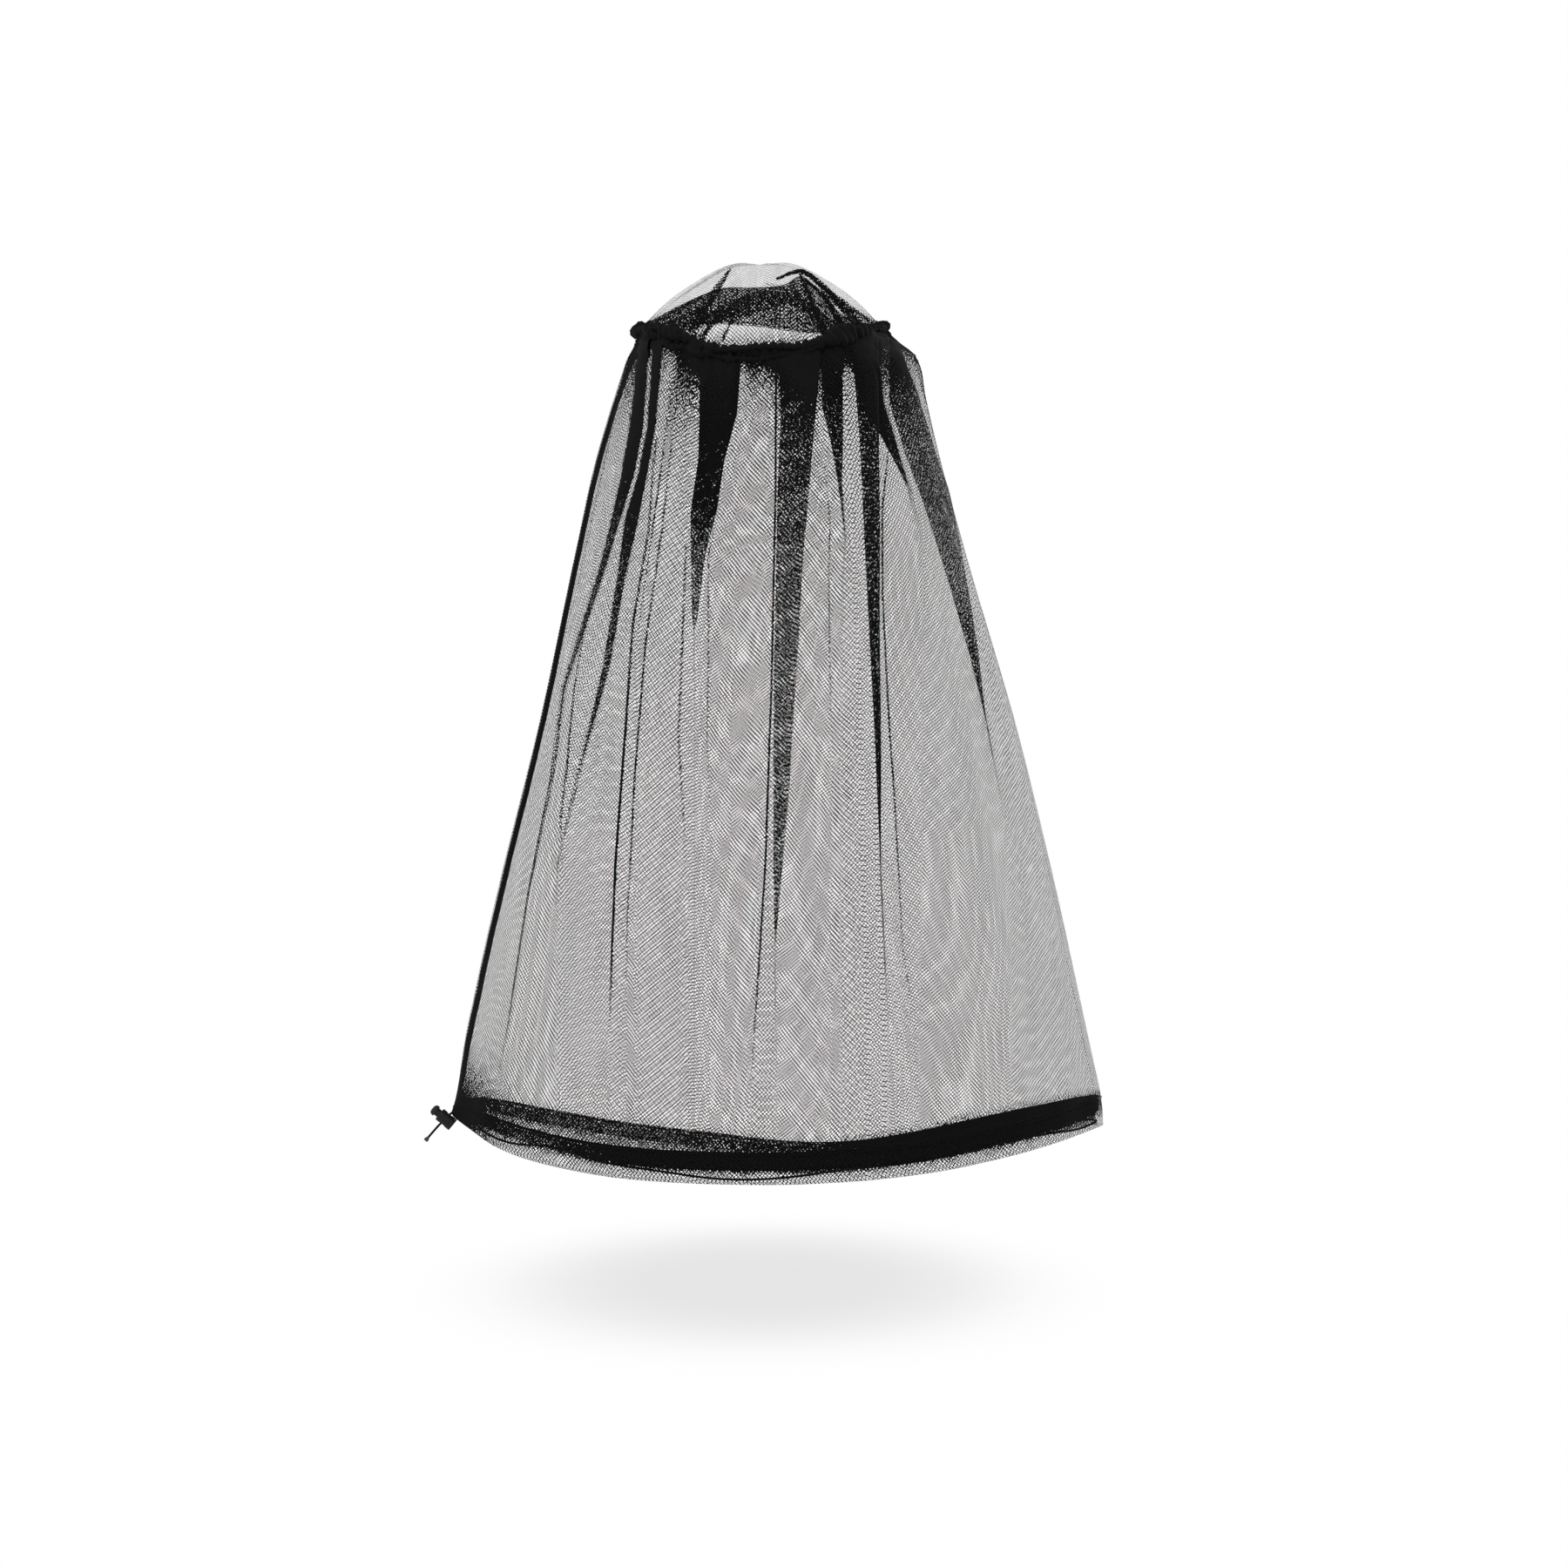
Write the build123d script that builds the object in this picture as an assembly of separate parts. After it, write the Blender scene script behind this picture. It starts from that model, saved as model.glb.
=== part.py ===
from build123d import *
import math
import os

# Beekeeping veil: a domed crown of fine net, an elastic ring that grips a hat or a head, a long
# flared skirt of net closed by one bound side seam, and a turned-up hem that carries a drawcord
# and a spring cord lock. Millimetres. The origin is the centre of the elastic ring, level with
# its two side ends. +Z is up, +X is the wearer's left, and the face looks along -Y.

# Crown and elastic ring
ring_radius = 93.0         # centreline of the elastic ring in plan
ring_sag = 15.0            # front and back of the ring hang this far below its two side ends
dome_height = 50.0
dome_shoulder = (0.8, 0.4)  # shares of the dome's radius and height on its side,
dome_brow = (0.5, 0.8)      # and where the side turns into the flat top
saddle_reach = 1.2          # the saddle under the crown reaches this many ring radii out
elastic_radius = 2.0
elastic_clearance = 0.6    # between the elastic and the channel that it is threaded through
ring_channel_wall = 1.0
join_wall = 0.45           # thickness of the stitching wrapped round the elastic's joined ends
join_length = 12.0

# Skirt
net_wall = 0.8
side_drop = 612.0          # from the ring's side ends down to the hem's fold at the sides
hem_left = 229.0           # reach of the hem to -X and to +X
hem_right = 262.0
hem_half_depth = 150.0
hem_sag = 38.0             # middle of the front and back hem hangs this far below the sides
hem_slope = 0.018          # the back of the hem hangs higher than the front by this slope
hem_straight = 0.92        # share of the drop below which the hem hangs straight down
hem_margin = 0.1           # the forms that the hem is cut from run on below it by this share

# Side seam and thread
seam_y = -20.0             # the seam runs down the -X side, a little to the front
seam_width = 4.4
seam_wall = 1.0
layer_gap = 0.05           # between layers that are sewn together
thread = 0.4               # thickness of a sewn thread line
thread_width = 0.7
bartack_width = 1.3
bartack_height = 9.0

# Hem channel
hem_height = 24.0
channel_gap = 5.0          # clear width of the channel between the net and the turned-up ply
facing_wall = 0.8
stitch_inset = 1.8         # from the hem's upper edge down to its row of stitches
exit_width = 21.0          # opening in the net where the drawcord leaves the channel
exit_height = 6.0
exit_rise = 14.0           # middle of that opening above the fold of the hem
exit_reach = 16.0          # depth of the box that cuts the opening and its bartacks

# Drawcord
cord_diameter = 1.8
cord_pair_gap = 0.2        # between the two strands where they run side by side
cord_bow = 1.1             # a polyline's corners stand this far outside the cord's smooth line
bend_share = 0.45          # share of the shorter run that the arc at a corner takes up
first_run = 13.0           # from the turn in the channel out to the turn above the lock
cord_fall = 50.0           # degrees below level at which the two ends run down through the lock
lock_run = 10.0            # from the turn above the lock to the middle of the lock
tail_length = 14.0         # cord that shows below the lock
tip_length = 3.6
tip_width = 3.6            # the melted end is pressed flat and wider than the cord

# Cord lock
lock_clearance = 0.2       # round the pair of cords, where the plunger pinches them
barrel_radius = 5.2
barrel_above = 5.0         # barrel above and below the line of the cords
barrel_below = 8.5
barrel_floor = 1.5
barrel_round = 0.8
stem_radius = 3.2
stem_fit = 0.08            # radial running clearance of the plunger in the barrel
stem_below = 1.5           # plunger left below its cord hole
plunger_travel = 2.6
head_gap = 0.3             # left between head and barrel when the plunger is pressed in
head_radius = 4.3
head_height = 4.0
head_round = 2.8
spring_wire = 0.5
spring_turns = 3.25
spring_fit = 0.35          # between the spring's coils and the bore

# The skirt's flare, from the ring down to where the hem hangs straight. Each row is a level oval:
# its share of the drop, then its growth from ring to hem on the -X side, +X side and in depth.
skirt_flare = [
    (-0.01, -0.03, -0.05, -0.16),
    (0.05, 0.10, 0.19, 0.09),
    (0.23, 0.32, 0.36, 0.47),
    (0.68, 0.77, 0.82, 0.86),
    (hem_straight, 1.00, 1.00, 1.00),
]

# The drawcord in its channel: degrees round the hem's oval from +X, and height above the fold.
# It lies low in the front and the back hem and climbs to the exit beside the seam.
front_cord = [
    (193.5, 12.5), (202, 10), (213, 7), (224, 5), (235, 3.5), (247, 3), (259, 4.5), (270, 6),
    (282, 4), (294, 3), (305, 4), (316, 6), (327, 7.5), (339, 6), (351, 4),
]
back_cord = [
    (3, 3.5), (15, 5), (27, 7), (39, 5.5), (50, 4), (62, 3), (74, 4), (86, 6), (98, 7), (110, 5),
    (121, 3.5), (133, 3), (144, 5), (155, 8), (166, 11), (177, 12.5),
]

channel_radius = elastic_radius + elastic_clearance
ring_tube_radius = channel_radius + ring_channel_wall
facing_depth = net_wall + channel_gap + facing_wall
pinch_window = cord_diameter + 2 * lock_clearance
lock_hole_height = pinch_window + plunger_travel
lock_hole_width = 2 * cord_diameter + cord_pair_gap + 2 * lock_clearance
bore_radius = stem_radius + stem_fit
hem_middle = (hem_right - hem_left) / 2
hem_half_width = (hem_right + hem_left) / 2
form_depth = (1 + hem_margin) * side_drop + hem_sag
far = 2 * (side_drop + hem_half_width)


def save(solid, name):
    """Write one named piece and report its volume."""
    solid.label = name
    export_step(solid, f"parts/{name}.step")
    print(f"{name}: {solid.volume:.1f} mm3")
    return solid


# ---- shared outlines -----------------------------------------------------------------------

def ring_path(radius):
    """Closed saddle-shaped loop of short runs and tangent arcs round the crown."""
    corners = 12
    reach = radius / math.cos(math.pi / corners)
    points = []
    for i in range(corners):
        angle = math.radians(360 * (i + 0.5) / corners)
        points.append((reach * math.cos(angle), reach * math.sin(angle),
                       -ring_sag * math.sin(angle) ** 2))
    run = 2 * reach * math.sin(math.pi / corners)
    bend = bend_share * run / math.tan(math.pi / corners)
    return FilletPolyline(*points, radius=bend, close=True)


def ring_tube(section, radius=ring_radius):
    """Round tube of the given section radius along the crown's ring."""
    path = ring_path(radius)
    start = path.edges()[0]
    return sweep(Plane(origin=start @ 0, z_dir=start % 0) * Circle(section), path=path)


def level_oval(flare, inset, height):
    """Level oval of the skirt at one row of its flare, drawn in by the inset."""
    left, right, depth = flare
    reach_left = ring_radius + left * (hem_left - ring_radius) - inset
    reach_right = ring_radius + right * (hem_right - ring_radius) - inset
    reach_depth = ring_radius + depth * (hem_half_depth - ring_radius) - inset
    middle = (reach_right - reach_left) / 2
    return Pos(middle, 0, height) * Ellipse((reach_right + reach_left) / 2, reach_depth)


def flared_form(inset):
    """Solid form of the flared skirt down to below the hem."""
    ovals = [level_oval(row[1:], inset, -row[0] * side_drop) for row in skirt_flare]
    ovals.append(level_oval((1, 1, 1), inset, -form_depth))
    return loft(ovals, ruled=True)


def hem_form(inset):
    """Solid form of the straight-hanging hem alone."""
    return extrude(level_oval((1, 1, 1), inset, -form_depth), form_depth - hem_straight * side_drop)


def below_ring():
    """Everything under the saddle surface that passes through the elastic ring."""
    rim = saddle_reach * ring_radius
    rise = ring_sag * ((rim / ring_radius) ** 2 - 1)
    top = ThreePointArc((-rim, rise), (0, -ring_sag), (rim, rise))
    rest = Polyline((rim, rise), (far, rise), (far, -far), (-far, -far), (-far, rise), (-rim, rise))
    face = make_face([*top.edges(), *rest.edges()])
    return extrude(Plane.XZ * face, far, both=True)


def hem_arc_height(x):
    """Height of the hem's fold in the plane y = 0."""
    arc_radius = (hem_half_width ** 2 + hem_sag ** 2) / (2 * hem_sag)
    return (-side_drop - hem_sag + arc_radius
            - math.sqrt(arc_radius ** 2 - (x - hem_middle) ** 2))


def hem_band(low, high):
    """Slab that follows the hem's fold, from low to high above it."""
    span = 1.15 * hem_half_width
    ends = []
    for lift in (low, high):
        side = hem_arc_height(hem_middle + span) + lift
        middle = hem_arc_height(hem_middle) + lift
        ends.append(ThreePointArc((hem_middle - span, side), (hem_middle, middle),
                                  (hem_middle + span, side)))
    joins = [Line(ends[0] @ 1, ends[1] @ 1), Line(ends[1] @ 0, ends[0] @ 0)]
    face = make_face([*ends[0].edges(), *ends[1].edges(), *joins[0].edges(), *joins[1].edges()])
    tilted = Plane(origin=(0, 0, 0), x_dir=(1, 0, 0), z_dir=(0, -1, -hem_slope))
    return extrude(tilted * face, 2 * hem_half_depth, both=True)


def seam_slab(width):
    """Upright slab along the side seam, on the -X side only."""
    return Pos(-far / 2, seam_y, 0) * Box(far, width, 2 * far)


# ---- crown ---------------------------------------------------------------------------------

def crown_net():
    """Low dome of net that closes the top, down to the elastic ring."""
    skin = []
    for wall in (0, net_wall):
        top = dome_height - wall
        rim = ring_radius + net_wall - wall
        bends = [(out * rim, up * top) for out, up in (dome_shoulder, dome_brow)]
        side = Spline((rim, 0), *bends, (0, top), tangents=[(-0.3, 1), (-1, 0)])
        edges = [*side.edges(), *Polyline((0, top), (0, -2 * ring_sag), (rim, -2 * ring_sag),
                                          (rim, 0)).edges()]
        skin.append(revolve(Plane.XZ * make_face(edges), Axis.Z))
    return skin[0] - skin[1] - below_ring() - ring_tube(ring_tube_radius + layer_gap)


def crown_channel():
    """Net folded into a channel round the elastic."""
    return ring_tube(ring_tube_radius) - ring_tube(channel_radius)


def crown_elastic():
    """Round elastic, one closed loop."""
    return ring_tube(elastic_radius)


def elastic_join():
    """Stitching wrapped round the elastic's joined ends, at the -X side."""
    wrap = ring_tube(elastic_radius + join_wall) - ring_tube(elastic_radius)
    return wrap & Pos(-ring_radius, 0, 0) * Box(ring_radius, join_length, ring_radius)


def crown_thread():
    """Row of thread round the outside of the channel, holding crown and skirt to it."""
    return ring_tube(thread, ring_radius + ring_tube_radius + thread + layer_gap)


# ---- skirt ---------------------------------------------------------------------------------

def exit_middle():
    """Middle of the cord's exit, on the skirt's outer face at the seam."""
    x = hem_middle - hem_half_width * math.sqrt(1 - (seam_y / hem_half_depth) ** 2)
    return x, seam_y, hem_arc_height(x) + hem_slope * seam_y + exit_rise


def skirt_net():
    """Flared skirt from the ring to the hem, with the cord's exit beside the seam."""
    above_fold = hem_band(0, side_drop + hem_sag + dome_height)
    cut = below_ring() & above_fold
    exit_box = Pos(*exit_middle()) * Box(exit_reach, exit_width, exit_height)
    shell = (flared_form(0) & cut) - flared_form(net_wall)
    return shell - ring_tube(ring_tube_radius + layer_gap) - exit_box


def seam_strip(outer, inner, width):
    """Strip that follows the side seam between two insets, from the ring to the hem."""
    guard = ring_tube_radius + 2 * thread
    slab = seam_slab(width) & below_ring() & hem_band(hem_height, side_drop + hem_sag + dome_height)
    return (flared_form(outer) & slab) - flared_form(inner) - ring_tube(guard)


def side_seam_binding():
    """Bound seam allowance that runs down inside the net."""
    outer = net_wall + layer_gap
    return seam_strip(outer, outer + seam_wall, seam_width)


def side_seam_thread():
    """Line of stitches down the outside of the seam."""
    return seam_strip(-layer_gap - thread, -layer_gap, thread_width)


# ---- hem -----------------------------------------------------------------------------------

def hem_facing():
    """Turned-up ply of the hem: fold, inner wall and upper edge, open towards the net."""
    block = (hem_form(net_wall + layer_gap) & hem_band(0, hem_height)) - hem_form(facing_depth)
    channel = ((hem_form(0) & hem_band(facing_wall, hem_height - facing_wall))
               - hem_form(net_wall + channel_gap))
    return block - channel


def stitch_row(outer, inner):
    """Row of stitches round the hem between two insets."""
    top = hem_height - stitch_inset
    return (hem_form(outer) & hem_band(top - thread_width, top)) - hem_form(inner)


def hem_needle_thread():
    """Stitches that show on the outside of the hem."""
    return stitch_row(-layer_gap - thread, -layer_gap)


def hem_bobbin_thread():
    """The same row of stitches on the inside of the turned-up ply."""
    return stitch_row(facing_depth + layer_gap, facing_depth + layer_gap + thread)


def exit_bartack(side):
    """Short dense bar of thread beside the cord's exit, on the outside of the net."""
    x, y, z = exit_middle()
    y += side * (exit_width + bartack_width) / 2
    bar = Pos(x, y, z) * Box(exit_reach, bartack_width, bartack_height)
    return (hem_form(-layer_gap - thread) & bar) - hem_form(-layer_gap)


# ---- drawcord ------------------------------------------------------------------------------

def channel_point(angle, lift):
    """A corner of the cord's route, in the middle of the hem's channel."""
    inset = net_wall + channel_gap / 2 - cord_bow
    turn = math.radians(angle)
    x = hem_middle + (hem_half_width - inset) * math.cos(turn)
    y = (hem_half_depth - inset) * math.sin(turn)
    return x, y, hem_arc_height(x) + hem_slope * y + lift


def fall_direction():
    """Direction in which the two cord ends run down through the lock."""
    fall = math.radians(cord_fall)
    return Vector(-math.cos(fall), 0, -math.sin(fall))


def cord_turns(side):
    """The turn inside the channel and the turn above the lock, for one strand."""
    x, y, z = exit_middle()
    strand_y = y + side * (cord_diameter + cord_pair_gap) / 2
    inner = Vector(x + net_wall + channel_gap / 2, strand_y, z)
    return inner, inner - Vector(first_run, 0, 0)


def lock_middle():
    """Middle of the cord pair inside the lock."""
    outer = cord_turns(0)[1]
    return outer + fall_direction() * lock_run


def cord_end(side):
    """Free end of one strand, before its melted tip."""
    reach = lock_run + barrel_radius + tail_length
    return cord_turns(side)[1] + fall_direction() * reach


def cord_points():
    """Corners of the whole route, from the front strand's end to the back strand's end."""
    front_inner, front_outer = cord_turns(-1)
    back_inner, back_outer = cord_turns(1)
    held = [Vector(*channel_point(*station)) for station in front_cord + back_cord]
    return [cord_end(-1), front_outer, front_inner, *held, back_inner, back_outer, cord_end(1)]


def drawcord():
    """One cord along straight runs joined by tangent arcs, each as large as its runs allow."""
    points = cord_points()
    radii = []
    for before, corner, after in zip(points, points[1:], points[2:]):
        half_turn = math.radians((corner - before).get_angle(after - corner)) / 2
        shorter = min((corner - before).length, (after - corner).length)
        radii.append(bend_share * shorter / math.tan(half_turn))
    print("cord radii:", " ".join(f"{radius:.1f}" for radius in radii))
    path = FilletPolyline(*points, radius=radii)
    cord = sweep(Plane(origin=points[0], z_dir=points[1] - points[0])
                 * Circle(cord_diameter / 2), path=path)
    section = math.pi * cord_diameter ** 2 / 4
    print(f"cord length {path.length:.1f}, tube {cord.volume:.1f}, "
          f"section times length {section * path.length:.1f}")
    return cord


def cord_tip(side):
    """Melted end, pressed flat and flared, that keeps the cord from fraying."""
    half = tip_width / 2
    corner = 0.8 * half
    widest = 0.6 * tip_length
    outline = Polyline((-cord_diameter / 2, 0), (cord_diameter / 2, 0), (half, widest),
                       (corner, tip_length), (-corner, tip_length), (-half, widest), close=True)
    tip = extrude(Plane.XZ * make_face(outline.edges()), cord_diameter / 2, both=True)
    return Plane(origin=cord_end(side), x_dir=(-fall_direction().Z, 0, fall_direction().X),
                 z_dir=fall_direction()) * tip


# ---- cord lock, built along its own axis with the cord pair through its origin --------------

def lock_plane():
    """Own frame of the lock: Z along the plunger towards its head, Y across the two cords."""
    fall = fall_direction()
    return Plane(origin=lock_middle(), x_dir=fall, z_dir=Vector(fall.Z, 0, -fall.X))


def cord_hole(low):
    """Slot for the two cords, right through along the lock's own X."""
    middle = low + lock_hole_height / 2
    return Pos(0, 0, middle) * Box(4 * barrel_radius, lock_hole_width, lock_hole_height)


def cord_lock_barrel():
    """Round barrel with a blind bore and a slot for the cords."""
    low = -barrel_below
    body = Pos(0, 0, low) * Cylinder(barrel_radius, barrel_above + barrel_below,
                                     align=(Align.CENTER, Align.CENTER, Align.MIN))
    body = fillet(body.edges().filter_by(GeomType.CIRCLE), barrel_round)
    bore = Pos(0, 0, low + barrel_floor) * Cylinder(
        bore_radius, 2 * (barrel_above + barrel_below), align=(Align.CENTER, Align.CENTER, Align.MIN))
    return lock_plane() * (body - bore - cord_hole(pinch_window / 2 - lock_hole_height))


def stem_end():
    """Lowest point of the plunger's stem at rest, in the lock's own Z."""
    return -pinch_window / 2 - stem_below


def cord_lock_plunger():
    """Stem with a cord slot and a mushroom head."""
    low = stem_end()
    neck = barrel_above + plunger_travel + head_gap
    stem = Pos(0, 0, low) * Cylinder(stem_radius, neck - low,
                                     align=(Align.CENTER, Align.CENTER, Align.MIN))
    head = Pos(0, 0, neck) * Cylinder(head_radius, head_height,
                                      align=(Align.CENTER, Align.CENTER, Align.MIN))
    head = fillet(head.edges().filter_by(GeomType.CIRCLE).sort_by(Axis.Z)[-1], head_round)
    return lock_plane() * (stem + head - cord_hole(-pinch_window / 2))


def cord_lock_spring():
    """Coil spring with ground ends, between the barrel's floor and the plunger."""
    low = -barrel_below + barrel_floor
    high = stem_end()
    coil = bore_radius - spring_fit - spring_wire / 2
    pitch = (high - low) / spring_turns
    helix = Pos(0, 0, low) * Helix(pitch, high - low, coil)
    wire = sweep(Plane(origin=helix @ 0, z_dir=helix % 0) * Circle(spring_wire / 2),
                 path=helix, is_frenet=True)
    room = Pos(0, 0, (low + high) / 2) * Cylinder(2 * coil, high - low)
    return lock_plane() * (wire & room)


os.makedirs("parts", exist_ok=True)
save(crown_net(), "crown_net")
save(crown_channel(), "crown_channel")
save(crown_elastic(), "crown_elastic")
save(elastic_join(), "elastic_join_stitching")
save(crown_thread(), "crown_thread")
save(skirt_net(), "skirt_net")
save(side_seam_binding(), "side_seam_binding")
save(side_seam_thread(), "side_seam_thread")
save(hem_facing(), "hem_facing")
save(hem_needle_thread(), "hem_needle_thread")
save(hem_bobbin_thread(), "hem_bobbin_thread")
save(exit_bartack(-1), "exit_bartack_front")
save(exit_bartack(1), "exit_bartack_back")
save(drawcord(), "drawcord")
save(cord_tip(-1), "cord_tip_front")
save(cord_tip(1), "cord_tip_back")
save(cord_lock_barrel(), "cord_lock_barrel")
save(cord_lock_plunger(), "cord_lock_plunger")
save(cord_lock_spring(), "cord_lock_spring")
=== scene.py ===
import math

import bmesh
import bpy
import numpy as np
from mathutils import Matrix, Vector


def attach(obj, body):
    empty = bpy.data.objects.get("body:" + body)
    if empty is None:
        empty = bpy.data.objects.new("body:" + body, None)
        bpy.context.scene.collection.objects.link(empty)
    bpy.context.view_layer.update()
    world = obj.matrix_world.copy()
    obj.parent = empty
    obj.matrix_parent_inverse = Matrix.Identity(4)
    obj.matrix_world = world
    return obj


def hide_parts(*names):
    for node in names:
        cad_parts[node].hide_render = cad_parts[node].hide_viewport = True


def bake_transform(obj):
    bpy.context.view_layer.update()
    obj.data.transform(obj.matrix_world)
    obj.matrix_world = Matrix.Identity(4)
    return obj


# A black net beekeeping veil. Metres. The origin is the centre of the elastic ring, +Z is up and
# the face looks along -Y.

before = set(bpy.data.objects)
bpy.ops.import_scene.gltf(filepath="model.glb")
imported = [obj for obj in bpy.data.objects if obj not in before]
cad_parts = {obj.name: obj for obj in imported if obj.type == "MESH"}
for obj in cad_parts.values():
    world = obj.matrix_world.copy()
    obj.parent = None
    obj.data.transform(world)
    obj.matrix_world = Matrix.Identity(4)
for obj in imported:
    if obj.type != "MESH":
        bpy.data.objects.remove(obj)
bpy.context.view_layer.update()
MM = 0.001

# Outline of the hanging net: level below the ring, reach to -X, reach to +X, half depth.
OUTLINE = np.array([
    (0, 93, 93, 93), (12, 97, 108, 94), (20, 102, 119, 96), (25, 104, 121.5, 97), (50, 113, 127, 104),
    (95, 127, 138, 112), (160, 142, 156, 121), (300, 172, 197, 134), (412, 199, 223, 142),
    (508, 220, 243, 147), (556, 229, 253, 149), (590, 231, 260, 150), (650, 230, 262, 150),
]) * MM
SIDE_DROP = 612 * MM
HEM_SAG = 38 * MM
HEM_SLOPE = 0.018
RING_RADIUS = 93 * MM
SEAM_Y = -20 * MM
HEM_MIDDLE = 16.5 * MM
HEM_HALF_WIDTH = 245.5 * MM
HEM_HALF_DEPTH = 150 * MM
HEM_ARC = (HEM_HALF_WIDTH ** 2 + HEM_SAG ** 2) / (2 * HEM_SAG)      # radius of the hem's sag
FRONT_DIP = np.array([-170, 110, 8]) * MM     # middle, spread and depth of the hem's two low places
BACK_DIP = np.array([60, 85, 9]) * MM
CORNER = Vector((-239, -20, -602)) * MM       # where the hem's corner bunches up at the cord lock
BUNCH_REACH = np.array([34, 60, 28]) * MM
BUNCH_PULL = 0.86


# ---- shader helpers ------------------------------------------------------------------------

class Tree:
    """A material's node tree. node makes any node, and an input named i6 is its socket number 6."""

    def __init__(self, name):
        self.material = bpy.data.materials.new(name)
        self.material.use_nodes = True
        self.nodes = self.material.node_tree.nodes
        self.links = self.material.node_tree.links
        self.nodes.clear()

    def node(self, kind, settings=None, output=0, **inputs):
        made = self.nodes.new(kind)
        for key, value in (settings or {}).items():
            if key == "stops":
                ramp = made.color_ramp.elements
                for place, (position, colour) in enumerate(value):
                    element = ramp[place] if place < 2 else ramp.new(position)
                    element.position = position
                    element.color = colour
            else:
                setattr(made, key, value)
        for key, value in inputs.items():
            by_number = key[0] == "i" and key[1:].isdigit()
            self.feed(made.inputs[int(key[1:]) if by_number else key.replace("_", " ")], value)
        return Value(self, made.outputs[output])

    def parts(self, vector):
        """The x, y and z of a vector."""
        made = self.nodes.new("ShaderNodeSeparateXYZ")
        self.links.new(vector.socket, made.inputs[0])
        return [Value(self, socket) for socket in made.outputs]

    def between(self, factor, shade, low, high):
        """Colour between two near-black tones, each given as its grey and blue in shades."""
        dark, light = ((shade * grey, shade * grey, shade * blue, 1) for grey, blue in (low, high))
        return self.node("ShaderNodeMix", {"data_type": "RGBA"}, output=2, i0=factor, i6=dark,
                         i7=light)

    def feed(self, socket, value):
        if isinstance(value, Value):
            self.links.new(value.socket, socket)
        else:
            socket.default_value = value

    def maths(self, operation, *values):
        made = self.nodes.new("ShaderNodeMath")
        made.operation = operation
        for socket, value in zip(made.inputs, values):
            self.feed(socket, value)
        return Value(self, made.outputs[0])

    def surface(self, shader):
        end = self.nodes.new("ShaderNodeOutputMaterial")
        self.links.new(shader.socket, end.inputs["Surface"])
        return self.material


class Value:
    """A socket that can be used in Python expressions."""

    def __init__(self, tree, socket):
        self.tree, self.socket = tree, socket

    def __add__(self, other):
        return self.tree.maths("ADD", self, other)

    def __radd__(self, other):
        return self.tree.maths("ADD", other, self)

    def __sub__(self, other):
        return self.tree.maths("SUBTRACT", self, other)

    def __rsub__(self, other):
        return self.tree.maths("SUBTRACT", other, self)

    def __mul__(self, other):
        return self.tree.maths("MULTIPLY", self, other)

    def __rmul__(self, other):
        return self.tree.maths("MULTIPLY", other, self)

    def __truediv__(self, other):
        return self.tree.maths("DIVIDE", self, other)

    def __gt__(self, other):
        return self.tree.maths("GREATER_THAN", self, other)


CREASED_FROM = 0.36     # gather past which the layers of a fold wander from each other


def net_material(name, pitch, shade):
    """Black diamond net on the cloth's own UV map.

    The vertex attribute gather is the share that the yarns cover: 1 or more leaves no hole open.
    """
    tree = Tree(name)
    cloth = tree.node("ShaderNodeUVMap", {"uv_map": "cloth"})
    across, along, _ = tree.parts(cloth)
    gather = tree.node("ShaderNodeAttribute", {"attribute_name": "gather"}, output=2)
    wander = tree.node("ShaderNodeTexNoise", Vector=cloth, Scale=60.0, Detail=2.0)
    rumple = tree.node("ShaderNodeTexNoise", Vector=cloth, Scale=330.0, Detail=1.0)
    past_plain = tree.maths("MAXIMUM", gather - CREASED_FROM, 0.0)
    folded = tree.maths("MINIMUM", past_plain * 9.0, 1.6)
    shift = (wander - 0.5) * 0.4 + (rumple - 0.5) * folded
    first = tree.maths("FRACT", (across + along) / pitch + shift + 100.0)
    second = tree.maths("FRACT", (across - along) / pitch + shift + 100.0)
    near_first = tree.maths("ABSOLUTE", first - 0.5) * 2.0
    near_second = tree.maths("ABSOLUTE", second - 0.5) * 2.0
    nearest = tree.maths("MAXIMUM", near_first, near_second)
    drawn_out = tree.node("ShaderNodeCombineXYZ", X=across, Y=along * 0.10)
    streaks = tree.node("ShaderNodeTexNoise", Vector=drawn_out, Scale=95.0, Detail=3.0)
    grain = tree.node("ShaderNodeTexNoise", Vector=cloth, Scale=620.0, Detail=1.0)
    coverage = gather * (grain * 0.7 + 0.65) + (streaks - 0.5) * 0.20
    open_share = tree.maths("SQRT", tree.maths("MAXIMUM", 1.0 - coverage, 0.0))
    alpha = nearest > open_share
    relief = tree.maths("MAXIMUM", nearest - open_share, 0.0)
    bump = tree.node("ShaderNodeBump", Strength=0.5, Distance=0.0002, Height=relief)
    tone = tree.between(grain, shade, (0.5, 0.53), (1.5, 1.6))
    shader = tree.node("ShaderNodeBsdfPrincipled", Base_Color=tone, Roughness=0.85, Alpha=alpha,
                       Normal=bump, Specular_IOR_Level=0.08)
    return tree.surface(shader)


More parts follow.
